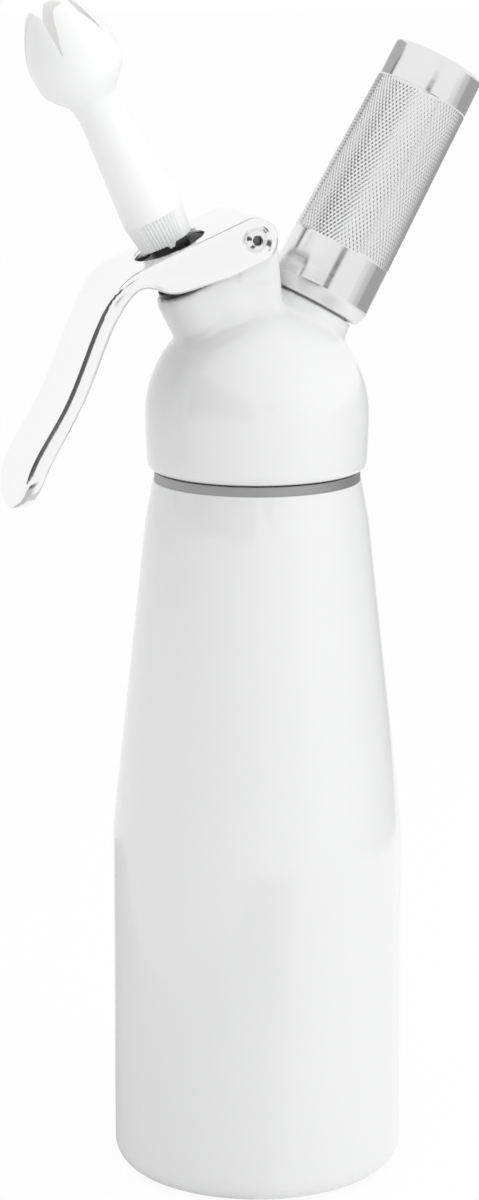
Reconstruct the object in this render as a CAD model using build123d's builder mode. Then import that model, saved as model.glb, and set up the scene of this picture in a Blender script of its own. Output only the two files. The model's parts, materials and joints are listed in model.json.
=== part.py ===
from build123d import *
from math import acos, cos, degrees, radians, sin, sqrt, tan
import os

os.makedirs("parts", exist_ok=True)

# A half-litre whipped cream dispenser. Millimetres, +Z up, origin at the centre of the base.
# The nozzle leans towards -X over the lever's handle, the gas charger leans towards +X.

# ---------------------------------------------------------------- clearances
touch_gap = 0.05        # flat faces that slide or turn on each other
running_fit = 0.05      # radial, shaft in bore
thread_fit = 0.08       # radial, plain cylinders that stand for a thread
seal_fit = 0.02         # rubber ring beside its groove walls
free_gap = 0.3          # neighbours that never touch
overrun = 1.0           # how far a cut runs past the face it opens

# ---------------------------------------------------------------- bottle
bottle_radius = 40.0
base_round = 6.7
bottle_wall = 1.6
taper_start = 96.5          # height where the straight wall starts to narrow
taper_start_blend = 80.0
shoulder_height = 194.4     # top edge of the enamelled shoulder
shoulder_drop = 11.4        # top edge of the shoulder to the end of the taper
shoulder_blend = 40.0
shoulder_edge_round = 0.3
shoulder_radius = 28.4
taper_end_radius = 30.5
ring_radius = 28.0          # bare ring under the head
ring_height = 2.6
neck_radius = 26.2          # outside of the bottle thread
neck_wall = 2.2
neck_height = 13.0
gasket_thickness = 2.0

# ---------------------------------------------------------------- head casting
rim_gap = 0.3               # ring to the head's rim
rim_radius = 29.7
rim_round = 2.2
dome_radius = 30.4
dome_rise = 15.2            # dome centre above the rim
head_wall = 4.0
dome_blend = 4.0

# ---------------------------------------------------------------- valve axis, from the dome centre
valve_tilt = 27.5
nozzle_seat_x = -25.4       # foot of the nozzle's collar
nozzle_seat_rise = 46.95
neck_drop = 12.6            # nozzle seat to the top face of the valve neck
neck_length = 16.0          # top face of the neck to the flat inside the dome
valve_neck_radius = 10.65
valve_boss_radius = 10.0    # inside the dome
body_radius = 6.4
body_flange_radius = 8.2
body_flange = 1.5
valve_nut_wall = 2.0
valve_nut_height = 3.0
body_foot = 1.5             # bushing below its nut
spring_pocket_radius = 5.0
spring_pocket_depth = 9.0
stem_radius = 3.2
stem_bore = 1.8
port_radius = 1.1
port_rise = 2.2             # side ports above the seat
ring_wire = 0.47            # O-ring section radius on the stem
stem_ring_rise = 6.6        # stem O-ring above the seat
poppet_radius = 5.4
poppet_thickness = 2.0
seal_thickness = 1.5
wire_radius = 0.5
spring_turns = 6.0
spring_radius = 4.15

# ---------------------------------------------------------------- nozzle adapter and decorator tip
adapter_flange_radius = 11.6
adapter_flat = 7.0          # half width across its two flats
adapter_flange = 1.9
spigot_radius = 5.6
spigot_rise = 8.0           # thread above the nozzle seat
tip_foot_radius = 7.8
tip_collar_radius = 8.5
tip_collar_height = 9.0
tip_neck_height = 39.3
tip_neck_radius = 6.05
tip_wall = 1.5
tip_bore = 4.3
cup_radius = 11.9
cup_height = 31.2           # tulip above the neck
tulip_outline = (           # share of the cup's height, share of its bulge
    (0.15, 0.15),
    (0.25, 0.61),
    (0.33, 0.90),
    (0.45, 1.00),
    (0.61, 0.97),
    (0.74, 0.76),
    (0.89, 0.37),
    (1.00, 0.02),
)
petal_count = 5
notch_depth = 11.6
notch_half_width = 3.1
notch_turn = 29.8           # degrees round the nozzle from its uphill side

# ---------------------------------------------------------------- lever
pivot_x = -5.12
pivot_rise = 48.3
plate_angle = 22.4          # slope of the fork's top plate
plate_thickness = 2.2
plate_length = 31.5         # pivot foot to the bend
handle_outline = (          # outer curve of the handle, from the pivot
    (-41.0, -15.0),
    (-47.0, -27.8),
    (-53.7, -42.9),
    (-62.2, -57.2),
    (-65.6, -70.0),
)
cheek_outline = (           # lower edge of the cheek, from the pivot
    (-31.5, -11.6),
    (-24.5, -13.4),
    (-16.9, -12.4),
    (-9.9, -10.4),
)
handle_shares = (0.9, 0.7, 0.5, 0.3, 0.15)   # where the inner curve follows the outer one
handle_end_lean = 12.0      # degrees from upright at the handle's tip
handle_tip_round = 10.0     # length of the rounded tip, seen from the front
fork_shoulder_drop = 9.0    # pivot to where the fork starts to narrow
fork_shoulder_length = 10.0
lever_travel = 12.0         # degrees
fork_half_width = 15.0
cheek_thickness = 2.5
handle_half_width = 13.0
handle_thickness = 4.9
nozzle_hole_radius = 9.8
nib_height = 1.0
nib_gap = 0.1
fork_clear_front = 30.2     # pivot to the front wall inside the fork
screw_radius = 1.75
screw_head_radius = 3.25
screw_head = 1.0
screw_recess = 1.6
washer_thickness = 0.6
washer_radius = 3.5
lug_radius = 3.7
column_reach = 8.0          # pivot to the back face of its column
column_corner = 4.0

# ---------------------------------------------------------------- charger side, from the dome centre
charger_tilt = 29.6
holder_seat_x = 16.0
holder_seat_rise = 29.1
charger_boss_radius = 11.9
boss_gap = 0.5              # boss to the holder's mouth
inlet_length = 10.0         # boss face to the flat inside the dome
inlet_boss_radius = 9.5
inlet_shank_radius = 6.5
inlet_flange_radius = 9.6
inlet_gasket_thickness = 1.0
inlet_thread_radius = 10.3
inlet_thread_height = 7.4
charger_bore = 4.2
web_drop = 3.5              # boss face to the web that carries the pin
pin_web = 1.5
pin_bore = 4.05
pin_radius = 1.1
pin_reach = 4.9             # needle above its web
pin_base = 1.5
pin_gas_bore = 0.5
pin_gasket_thickness = 1.5
pin_gasket_bore = 1.6
retainer_height = 2.5
gas_spigot_radius = 2.2
gas_spigot_length = 3.2
valve_rubber = 1.2
charger_radius = 9.0
charger_neck_radius = 3.75
charger_length = 65.5
charger_neck_length = 10.0
charger_shoulder = 9.5
charger_wall = 1.3
charger_mouth = 1.4
foil_radius = 2.6
foil_thickness = 0.4
holder_foot_radius = 14.4
holder_top_radius = 12.8
holder_length = 73.8
holder_room = 0.4           # charger to the holder's wall
holder_foot_round = 1.7
holder_foot_rise = 4.8
holder_top_round = 1.2
pad_thickness = 4.0


# ---------------------------------------------------------------- places worked out from the sizes
taper_end = shoulder_height - shoulder_drop
ring_top = shoulder_height + ring_height
rim_height = ring_top + rim_gap
neck_top = ring_top + neck_height
gasket_bottom = neck_top + touch_gap
gasket_seat = gasket_bottom + gasket_thickness + touch_gap
dome_height = rim_height + dome_rise
thread_bore = neck_radius + thread_fit
neck_bore = neck_radius - neck_wall
cavity_radius = dome_radius - head_wall

pivot = (pivot_x, dome_height + pivot_rise)
nozzle_seat = (nozzle_seat_x, dome_height + nozzle_seat_rise)
holder_seat = (holder_seat_x, dome_height + holder_seat_rise)


def leaning_plane(seat, tilt):
    """Section plane whose local x is radial and local y runs up an axis tilted towards -X."""
    lean = radians(tilt)
    return Plane(origin=(seat[0], 0, seat[1]), x_dir=(cos(lean), 0, sin(lean)), z_dir=(0, -1, 0))


valve_section = leaning_plane(nozzle_seat, valve_tilt)
charger_section = leaning_plane(holder_seat, -charger_tilt)
valve_axis = Axis(valve_section.origin, valve_section.y_dir)
charger_axis = Axis(charger_section.origin, charger_section.y_dir)


def cross_plane(section, height):
    """Plane square to a section's axis, a given way along it."""
    return Plane(origin=section.from_local_coords((0, height, 0)), x_dir=section.x_dir, z_dir=section.y_dir)


def ring_section(inner, outer, bottom, top):
    """Rectangle that revolves into a ring or a disc."""
    with Locations((inner, bottom)):
        Rectangle(outer - inner, top - bottom, align=(Align.MIN, Align.MIN))


def outward_plane(section, turn, height):
    """Plane that faces outwards from a section's axis, turned round it, with y up the axis."""
    outward = section.x_dir.rotate(Axis((0, 0, 0), section.y_dir), turn)
    return Plane(
        origin=section.from_local_coords((0, height, 0)),
        x_dir=section.y_dir.cross(outward),
        z_dir=outward,
    )


def finish_piece(piece, name):
    """Label a finished piece and write it."""
    piece.part.label = name
    export_step(piece.part, "parts/" + name + ".step")


# heights along the valve axis, from the nozzle seat
neck_face = -neck_drop
inner_flat = neck_face - neck_length
body_top = neck_face + body_flange
nut_bottom = inner_flat - valve_nut_height
valve_seat_height = nut_bottom - body_foot
pocket_floor = body_top - spring_pocket_depth
seal_top = valve_seat_height - touch_gap
body_ring_height = inner_flat + neck_length / 4
stem_ring_height = valve_seat_height + stem_ring_rise
poppet_top = seal_top - seal_thickness
poppet_bottom = poppet_top - poppet_thickness

# the plate's underside touches a circle round the pivot, and the nib hangs below it on the valve axis
plate_lean = radians(plate_angle)
plate_normal = (-sin(plate_lean), cos(plate_lean))
plate_along = (-cos(plate_lean), -sin(plate_lean))
plate_inner = lug_radius + free_gap
plate_outer = plate_inner + plate_thickness
valve_direction = (-sin(radians(valve_tilt)), cos(radians(valve_tilt)))
seat_from_pivot = (nozzle_seat[0] - pivot[0], nozzle_seat[1] - pivot[1])
seat_above_pivot = plate_normal[0] * seat_from_pivot[0] + plate_normal[1] * seat_from_pivot[1]
rise_per_length = plate_normal[0] * valve_direction[0] + plate_normal[1] * valve_direction[1]
nib_tip = (plate_inner - nib_height - seat_above_pivot) / rise_per_length
plate_level = (plate_inner - seat_above_pivot) / rise_per_length
flange_top = nib_tip - nib_gap
flange_bottom = flange_top - adapter_flange
stem_top = flange_top + spigot_rise / 4

# heights along the charger axis, from the holder's mouth
boss_face = -boss_gap
stud_base = boss_face + inlet_gasket_thickness
stud_top = stud_base + inlet_thread_height
stud_foot = boss_face - inlet_length - overrun
web_top = boss_face - web_drop
web_bottom = web_top - pin_web
gasket_top = web_top + pin_gasket_thickness
pin_foot = web_bottom - pin_base
retainer_foot = pin_foot - retainer_height
spigot_foot = retainer_foot - gas_spigot_length
charger_tip = gasket_top + touch_gap
shoulder_foot = charger_tip + charger_neck_length
charger_end = charger_tip + charger_length
pad_foot = charger_end + touch_gap
holder_ceiling = pad_foot + pad_thickness
holder_bore = charger_radius + holder_room

plate_plane = Plane(
    origin=(pivot[0], 0, pivot[1]),
    x_dir=(plate_along[0], 0, plate_along[1]),
    z_dir=(0, 1, 0),
)


def plate_plane_point(offset_x, offset_z):
    """Point on the plate plane, given by how far it lies from the pivot along X and Z."""
    local = plate_plane.to_local_coords(Vector(pivot[0] + offset_x, 0, pivot[1] + offset_z))
    return (local.X, local.Y)


# ---------------------------------------------------------------- bottle
with BuildPart() as bottle:
    with BuildSketch(Plane.XZ):
        with BuildLine():
            Polyline(
                (0, 0),
                (bottle_radius, 0),
                (bottle_radius, taper_start),
                (taper_end_radius, taper_end),
                (shoulder_radius, shoulder_height),
                (ring_radius, shoulder_height),
                (ring_radius, ring_top),
                (neck_radius, ring_top),
                (neck_radius, neck_top),
                (0, neck_top),
                close=True,
            )
        make_face()
        fillet([v for v in vertices() if abs(v.X - bottle_radius) < 0.01 and v.Y < 1], base_round)
        fillet([v for v in vertices() if abs(v.Y - taper_start) < 0.01], taper_start_blend)
        fillet([v for v in vertices() if abs(v.Y - taper_end) < 0.01], shoulder_blend)
        fillet([v for v in vertices() if abs(v.X - shoulder_radius) < 0.01], shoulder_edge_round)
    revolve(axis=Axis.Z)
    inner_round = base_round - bottle_wall
    with BuildSketch(Plane.XZ):
        with BuildLine():
            Polyline(
                (0, bottle_wall),
                (bottle_radius - bottle_wall, bottle_wall),
                (bottle_radius - bottle_wall, taper_start),
                (taper_end_radius - bottle_wall, taper_end),
                (neck_bore, shoulder_height - bottle_wall),
                (neck_bore, neck_top),
                (0, neck_top),
                close=True,
            )
        make_face()
        fillet([v for v in vertices() if v.X > neck_bore and v.Y < taper_start / 2], inner_round)
        fillet([v for v in vertices() if abs(v.Y - taper_start) < 0.01], taper_start_blend)
    revolve(axis=Axis.Z, mode=Mode.SUBTRACT)
finish_piece(bottle, "bottle")

# ---------------------------------------------------------------- head gasket
with BuildPart() as head_gasket:
    with BuildSketch(Plane.XZ):
        ring_section(neck_bore, neck_radius, gasket_bottom, gasket_bottom + gasket_thickness)
    revolve(axis=Axis.Z)
finish_piece(head_gasket, "head_gasket")

# ---------------------------------------------------------------- head
cheek_inner = fork_half_width - cheek_thickness
lug_half = cheek_inner - washer_thickness - 2 * running_fit
column_back = pivot[0] + column_reach
column_corners = [(column_back - column_corner, side * (lug_half - column_corner)) for side in (1, -1)]
column_top = pivot[1] - lug_radius


def on_dome(edge):
    """True for an edge that lies on the dome's outer sphere above the skirt."""
    places = [edge @ share for share in (0.1, 0.5, 0.9)]
    centre = Vector(0, 0, dome_height)
    return all(abs((p - centre).length - dome_radius) < 0.01 and p.Z > dome_height + 1 for p in places)


flare_reach = dome_radius + dome_blend - free_gap
flare_height = sqrt(flare_reach**2 - (charger_boss_radius + dome_blend) ** 2) - sqrt(
    holder_seat_x**2 + holder_seat_rise**2
)

# the upright web that carries the pivot, no wider in plan than the column below it
with BuildPart() as pivot_lug:
    with BuildSketch(Plane.XZ):
        with BuildLine():
            CenterArc(pivot, lug_radius, 0, 360)
            for level in (column_top, column_top - 2 * lug_radius):
                Line((pivot[0] - lug_radius, level), (column_back, level))
        make_hull()
    extrude(amount=lug_half, both=True)
    with BuildSketch(Plane.XY.offset(dome_height)):
        with Locations((column_back, 0)):
            Rectangle(2 * column_reach + 2 * lug_radius, 2 * lug_half, align=(Align.MAX, Align.CENTER))
        fillet([v for v in vertices() if v.X > pivot[0]], column_corner)
    extrude(amount=2 * pivot_rise, mode=Mode.INTERSECT)

with BuildPart() as head:
    # valve neck: hull of the tilted valve boss and the upright column under the pivot
    for height in (dome_height, column_top):
        valve_x = nozzle_seat[0] + (nozzle_seat[1] - height) * tan(radians(valve_tilt))
        with BuildSketch(Plane.XY.offset(height)):
            with BuildLine():
                CenterArc((valve_x, 0), valve_neck_radius, 0, 360)
                for corner in column_corners:
                    CenterArc(corner, column_corner, 0, 360)
            make_hull()
    loft()
    with BuildSketch(cross_plane(valve_section, neck_face)):
        Circle(3 * dome_radius)
    extrude(amount=2 * neck_length, mode=Mode.SUBTRACT)
    add(pivot_lug.part)
    # dome and skirt
    with BuildSketch(Plane.XZ):
        with BuildLine():
            Line((0, rim_height), (rim_radius, rim_height))
            TangentArc((dome_radius, dome_height), (rim_radius, rim_height), tangent=(0, -1))
            CenterArc((0, dome_height), dome_radius, 0, 90)
            Line((0, dome_height + dome_radius), (0, rim_height))
        make_face()
        fillet([v for v in vertices() if abs(v.X - rim_radius) < 0.01], rim_round)
    revolve(axis=Axis.Z)
    fillet([edge for edge in edges() if on_dome(edge)], dome_blend)
    # charger boss, its foot flared into the dome
    with BuildSketch(charger_section):
        with BuildLine():
            flare = CenterArc(
                (charger_boss_radius + dome_blend, flare_height),
                dome_blend,
                180,
                degrees(acos((charger_boss_radius + dome_blend) / flare_reach)),
            )
            face_and_axis = [(charger_boss_radius, boss_face), (0, boss_face), (0, (flare @ 1).Y)]
            Polyline(flare @ 0, *face_and_axis, flare @ 1)
        make_face()
    revolve(axis=charger_axis)
    # hollow under the dome, with the thread bore and the gasket's ledge
    cavity_rise = sqrt(cavity_radius**2 - neck_bore**2)
    with BuildSketch(Plane.XZ):
        with BuildLine():
            Polyline(
                (0, dome_height + cavity_radius),
                (0, rim_height),
                (thread_bore, rim_height),
                (thread_bore, gasket_seat),
                (neck_bore, gasket_seat),
                (neck_bore, dome_height + cavity_rise),
            )
            cavity_top = (0, dome_height + cavity_radius)
            RadiusArc((neck_bore, dome_height + cavity_rise), cavity_top, -cavity_radius)
        make_face()
    revolve(axis=Axis.Z, mode=Mode.SUBTRACT)
    # bosses inside the dome, with flats for the valve nut and the gas inlet
    with BuildSketch(cross_plane(valve_section, inner_flat)):
        Circle(valve_boss_radius)
    extrude(amount=neck_length - body_flange)
    with BuildSketch(cross_plane(charger_section, boss_face - inlet_length)):
        Circle(inlet_boss_radius)
    extrude(amount=inlet_length / 2)
    # bores
    with BuildSketch(cross_plane(valve_section, inner_flat - overrun)):
        Circle(body_radius + thread_fit)
    extrude(amount=neck_length + 2 * overrun, mode=Mode.SUBTRACT)
    with BuildSketch(cross_plane(charger_section, boss_face - inlet_length - overrun)):
        Circle(inlet_shank_radius + seal_fit)
    extrude(amount=inlet_length + 2 * overrun, mode=Mode.SUBTRACT)
    with BuildSketch(Plane.XZ):
        with Locations(pivot):
            Circle(screw_radius + running_fit)
    extrude(amount=2 * lug_half, both=True, mode=Mode.SUBTRACT)
finish_piece(head, "head")

# ---------------------------------------------------------------- valve
with BuildPart() as valve_body:
    with BuildSketch(valve_section):
        ring_section(stem_radius + running_fit, body_radius, valve_seat_height, neck_face)
        ring_section(stem_radius + running_fit, body_flange_radius, neck_face, body_top)
        with Locations((stem_radius, pocket_floor)):
            Rectangle(spring_pocket_radius - stem_radius, spring_pocket_depth, align=(Align.MIN, Align.MIN),
                      mode=Mode.SUBTRACT)
        with Locations((body_radius, body_ring_height)):
            Rectangle(4 * ring_wire, 2 * (ring_wire + seal_fit), mode=Mode.SUBTRACT)
    revolve(axis=valve_axis)
finish_piece(valve_body, "valve_body")

with BuildPart() as valve_body_o_ring:
    with BuildSketch(valve_section):
        with Locations((body_radius - ring_wire, body_ring_height)):
            Circle(ring_wire)
    revolve(axis=valve_axis)
finish_piece(valve_body_o_ring, "valve_body_o_ring")

with BuildPart() as valve_nut:
    with BuildSketch(cross_plane(valve_section, nut_bottom)):
        RegularPolygon(body_radius + valve_nut_wall, 6)
        Circle(body_radius + thread_fit, mode=Mode.SUBTRACT)
    extrude(amount=valve_nut_height)
finish_piece(valve_nut, "valve_nut")

with BuildPart() as valve_stem:
    with BuildSketch(valve_section):
        ring_section(stem_bore, stem_radius, poppet_top, stem_top)
        ring_section(0, poppet_radius, poppet_bottom, poppet_top)
        ring_section(0, stem_radius, poppet_top, valve_seat_height + port_rise - port_radius - free_gap)
        with Locations((stem_radius, stem_ring_height)):
            Rectangle(4 * ring_wire, 2 * (ring_wire + seal_fit), mode=Mode.SUBTRACT)
    revolve(axis=valve_axis)
    for turn in (0, 90, 180, 270):
        with BuildSketch(outward_plane(valve_section, turn, valve_seat_height + port_rise)):
            Circle(port_radius)
        extrude(amount=2 * stem_radius, mode=Mode.SUBTRACT)
finish_piece(valve_stem, "valve_stem")

with BuildPart() as stem_o_ring:
    with BuildSketch(valve_section):
        with Locations((stem_radius - ring_wire + seal_fit, stem_ring_height)):
            Circle(ring_wire)
    revolve(axis=valve_axis)
finish_piece(stem_o_ring, "stem_o_ring")

with BuildPart() as valve_seal:
    with BuildSketch(valve_section):
        ring_section(stem_radius + seal_fit, poppet_radius - seal_fit, poppet_top, seal_top)
    revolve(axis=valve_axis)
finish_piece(valve_seal, "valve_seal")

with BuildPart() as valve_spring:
    spring_foot = pocket_floor + wire_radius + touch_gap
    spring_height = flange_bottom - touch_gap - wire_radius - spring_foot
    with BuildLine():
        coil = Helix(
            pitch=spring_height / spring_turns,
            height=spring_height,
            radius=spring_radius,
            center=valve_section.from_local_coords((0, spring_foot, 0)),
            direction=valve_section.y_dir,
        )
    with BuildSketch(Plane(origin=coil @ 0, z_dir=coil % 0)):
        Circle(wire_radius)
    sweep(is_frenet=True)
finish_piece(valve_spring, "valve_spring")

# ---------------------------------------------------------------- nozzle adapter and decorator tip
with BuildPart() as nozzle_adapter:
    with BuildSketch(cross_plane(valve_section, flange_bottom)):
        Circle(adapter_flange_radius)
        Rectangle(2 * adapter_flat, 3 * adapter_flange_radius, mode=Mode.INTERSECT)
    extrude(amount=adapter_flange)
    with BuildSketch(valve_section):
        ring_section(0, spigot_radius, flange_top, spigot_rise)
    revolve(axis=valve_axis)
    with BuildSketch(valve_section):
        ring_section(0, stem_radius + seal_fit, flange_bottom, stem_top + seal_fit)
        ring_section(0, stem_bore, stem_top, spigot_rise)
    revolve(axis=valve_axis, mode=Mode.SUBTRACT)
finish_piece(nozzle_adapter, "nozzle_adapter")

with BuildPart() as decorator_tip:
    with BuildSketch(valve_section):
        with BuildLine():
            bulge = cup_radius - tip_neck_radius
            outside = [
                (tip_neck_radius + bulge * swell, tip_neck_height + cup_height * rise)
                for rise, swell in tulip_outline
            ]
            inside = [(radius - tip_wall, height) for radius, height in outside]
            Polyline(
                (tip_neck_radius - tip_wall, tip_neck_height),
                (tip_bore, spigot_rise + touch_gap),
                (spigot_radius + thread_fit, spigot_rise + touch_gap),
                (spigot_radius + thread_fit, 0),
                (tip_foot_radius, 0),
                (tip_collar_radius, tip_collar_height),
                (tip_neck_radius, tip_neck_height),
            )
            Spline((tip_neck_radius, tip_neck_height), *outside)
            Line(outside[-1], inside[-1])
            Spline((tip_neck_radius - tip_wall, tip_neck_height), *inside)
        make_face()
    revolve(axis=valve_axis)
    for petal in range(petal_count):
        turn = notch_turn + 360 * petal / petal_count
        with BuildSketch(outward_plane(valve_section, turn, tip_neck_height + cup_height - notch_depth)):
            Polygon(
                (0, 0),
                (notch_half_width, notch_depth),
                (notch_half_width, notch_depth + tip_wall),
                (-notch_half_width, notch_depth + tip_wall),
                (-notch_half_width, notch_depth),
                align=None,
            )
        extrude(amount=2 * cup_radius, mode=Mode.SUBTRACT)
finish_piece(decorator_tip, "decorator_tip")

# ---------------------------------------------------------------- lever
hole_plane = Plane(
    origin=valve_section.from_local_coords((0, plate_level, 0)),
    x_dir=plate_plane.x_dir,
    z_dir=plate_plane.y_dir,
)
nib_centre = valve_section.from_local_coords((0, nib_tip, 0)) + nib_height * plate_plane.y_dir
nib_side = (nozzle_hole_radius + cheek_inner) / 2
nib_places = [nib_centre + Vector(0, side * nib_side, 0) for side in (1, -1)]
handle_tip = (pivot[0] + handle_outline[-1][0], pivot[1] + handle_outline[-1][1])


def turned_about_pivot(place, angle):
    """Where a point of the lever goes when the handle is pressed by an angle in degrees."""
    turn = radians(angle)
    across = place.X - pivot[0]
    up = place.Z - pivot[1]
    turned_across = across * cos(turn) - up * sin(turn)
    turned_up = across * sin(turn) + up * cos(turn)
    return Vector(pivot[0] + turned_across, place.Y, pivot[1] + turned_up)


stem_travel = (nib_centre - turned_about_pivot(nib_centre, lever_travel)).dot(valve_section.y_dir)
end_direction = Vector(-sin(radians(handle_end_lean)), 0, -cos(radians(handle_end_lean)))
tip_direction = plate_plane.to_local_coords(end_direction + plate_plane.origin)
handle_end_tangent = (tip_direction.X, tip_direction.Y)
fork_top = pivot[1] + fork_half_width
fork_shoulder = pivot[1] - fork_shoulder_drop
handle_start = fork_shoulder - fork_shoulder_length
with BuildPart() as lever:
    with BuildSketch(plate_plane):
        with BuildLine():
            top = Line((0, plate_outer), (plate_length, plate_outer))
            outside = Spline(
                top @ 1,
                *[plate_plane_point(offset_x, offset_z) for offset_x, offset_z in handle_outline],
                tangents=[(1, 0), handle_end_tangent],
            )
            end = outside @ 1 + handle_thickness * Vector(outside % 1).rotate(Axis.Z, -90)
            Line(outside @ 1, end)
            inner_places = [
                outside @ share + handle_thickness * Vector(outside % share).rotate(Axis.Z, -90)
                for share in handle_shares
            ]
            underside = [plate_plane_point(offset_x, offset_z) for offset_x, offset_z in cheek_outline]
            Spline(end, *inner_places, *underside, (0, -plate_outer), tangents=[-(outside % 1), (-1, 0)])
            ThreePointArc((0, -plate_outer), (-plate_outer, 0), (0, plate_outer))
        make_face()
    extrude(amount=fork_half_width, both=True)
    # plan of the lever: broad fork, narrower handle with a rounded tip
    with BuildSketch(Plane.YZ):
        with BuildLine():
            tip_round_start = handle_tip[1] + handle_tip_round
            Line((fork_half_width, fork_top), (fork_half_width, fork_shoulder))
            Spline(
                (fork_half_width, fork_shoulder),
                (handle_half_width, handle_start),
                tangents=[(0, -1), (0, -1)],
            )
            Line((handle_half_width, handle_start), (handle_half_width, tip_round_start))
            EllipticalCenterArc((0, tip_round_start), handle_half_width, handle_tip_round, -90, arc_size=90)
            mirror(about=Plane.YZ)
            Line((-fork_half_width, fork_top), (fork_half_width, fork_top))
        make_face()
    extrude(amount=3 * bottle_radius, both=True, mode=Mode.INTERSECT)
    # hollow between the cheeks, under the plate
    with BuildSketch(plate_plane):
        with Locations((-2 * plate_outer, plate_inner)):
            Rectangle(2 * plate_outer + fork_clear_front, 4 * plate_outer, align=(Align.MIN, Align.MAX))
        fillet([v for v in vertices() if v.X > 0 and abs(v.Y - plate_inner) < 0.01], plate_thickness)
    extrude(amount=cheek_inner, both=True, mode=Mode.SUBTRACT)
    # round hole that the nozzle comes up through
    with BuildSketch(hole_plane):
        Circle(nozzle_hole_radius)
    extrude(amount=3 * plate_thickness, both=True, mode=Mode.SUBTRACT)
    # nibs that press on the adapter's flange
    with Locations(*nib_places):
        Sphere(nib_height)
    # pivot holes, with a recess for the screw's head on each side
    with BuildSketch(Plane.XZ):
        with Locations(pivot):
            Circle(screw_radius + running_fit)
    extrude(amount=2 * fork_half_width, both=True, mode=Mode.SUBTRACT)
    for side in (1, -1):
        with BuildSketch(Plane.XZ.offset(side * (fork_half_width - screw_recess))):
            with Locations(pivot):
                Circle(screw_head_radius + free_gap / 2)
        extrude(amount=side * 2 * screw_recess, mode=Mode.SUBTRACT)
finish_piece(lever, "lever")

# ---------------------------------------------------------------- pivot
with BuildPart() as pivot_screw:
    with BuildSketch(Plane.XZ.offset(fork_half_width - screw_recess)):
        with Locations(pivot):
            Circle(screw_head_radius)
    extrude(amount=screw_head)
    with BuildSketch(Plane.XZ.offset(fork_half_width - screw_recess)):
        with Locations(pivot):
            Circle(screw_radius)
    extrude(amount=-2 * (fork_half_width - screw_recess) - screw_head / 2)
    with BuildSketch(Plane.XZ.offset(fork_half_width - screw_recess + screw_head)):
        with Locations(pivot):
            RegularPolygon(screw_radius, 6)
    extrude(amount=-screw_head, mode=Mode.SUBTRACT)
finish_piece(pivot_screw, "pivot_screw")

with BuildPart() as pivot_nut:
    with BuildSketch(Plane.XZ.offset(screw_recess - fork_half_width)):
        with Locations(pivot):
            Circle(screw_head_radius)
            Circle(screw_radius + seal_fit, mode=Mode.SUBTRACT)
    extrude(amount=-screw_head)
finish_piece(pivot_nut, "pivot_nut")

with BuildPart() as pivot_washers:
    for side in (1, -1):
        with BuildSketch(Plane.XZ.offset(side * (lug_half + running_fit))):
            with Locations(pivot):
                Circle(washer_radius)
                Circle(screw_radius + running_fit, mode=Mode.SUBTRACT)
        extrude(amount=side * washer_thickness)
finish_piece(pivot_washers, "pivot_washers")

# ---------------------------------------------------------------- gas inlet
with BuildPart() as inlet_gasket:
    with BuildSketch(charger_section):
        ring_section(inlet_shank_radius + seal_fit, inlet_flange_radius, boss_face, stud_base)
    revolve(axis=charger_axis)
finish_piece(inlet_gasket, "inlet_gasket")

with BuildPart() as inlet_stud:
    with BuildSketch(charger_section):
        ring_section(0, inlet_thread_radius, stud_base, stud_top)
        ring_section(0, inlet_shank_radius, stud_foot, stud_base)
    revolve(axis=charger_axis)
    with BuildSketch(charger_section):
        ring_section(0, charger_bore, web_top, stud_top)
        ring_section(0, pin_radius + seal_fit, web_bottom, web_top)
        ring_section(0, pin_bore, stud_foot, web_bottom)
    revolve(axis=charger_axis, mode=Mode.SUBTRACT)
finish_piece(inlet_stud, "inlet_stud")

with BuildPart() as pin_gasket:
    with BuildSketch(charger_section):
        ring_section(pin_gasket_bore, charger_bore - seal_fit, web_top, gasket_top)
    revolve(axis=charger_axis)
finish_piece(pin_gasket, "pin_gasket")

with BuildPart() as piercing_pin:
    with BuildSketch(charger_section):
        with BuildLine():
            Polyline(
                (pin_gas_bore, pin_foot),
                (pin_bore - seal_fit, pin_foot),
                (pin_bore - seal_fit, web_bottom),
                (pin_radius, web_bottom),
                (pin_radius, web_top + pin_reach - pin_radius),
                (pin_gas_bore, web_top + pin_reach),
                close=True,
            )
        make_face()
    revolve(axis=charger_axis)
finish_piece(piercing_pin, "piercing_pin")

with BuildPart() as pin_retainer:
    with BuildSketch(charger_section):
        ring_section(pin_gas_bore, pin_bore - seal_fit, retainer_foot, pin_foot)
        ring_section(pin_gas_bore, gas_spigot_radius, spigot_foot, retainer_foot)
    revolve(axis=charger_axis)
finish_piece(pin_retainer, "pin_retainer")

with BuildPart() as check_valve:
    with BuildSketch(charger_section):
        sleeve_radius = gas_spigot_radius + valve_rubber
        ring_section(0, sleeve_radius, spigot_foot - valve_rubber, retainer_foot - seal_fit)
        with Locations((0, spigot_foot - seal_fit)):
            Rectangle(gas_spigot_radius + seal_fit, 2 * gas_spigot_length, align=(Align.MIN, Align.MIN),
                      mode=Mode.SUBTRACT)
    revolve(axis=charger_axis)
finish_piece(check_valve, "check_valve")

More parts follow.
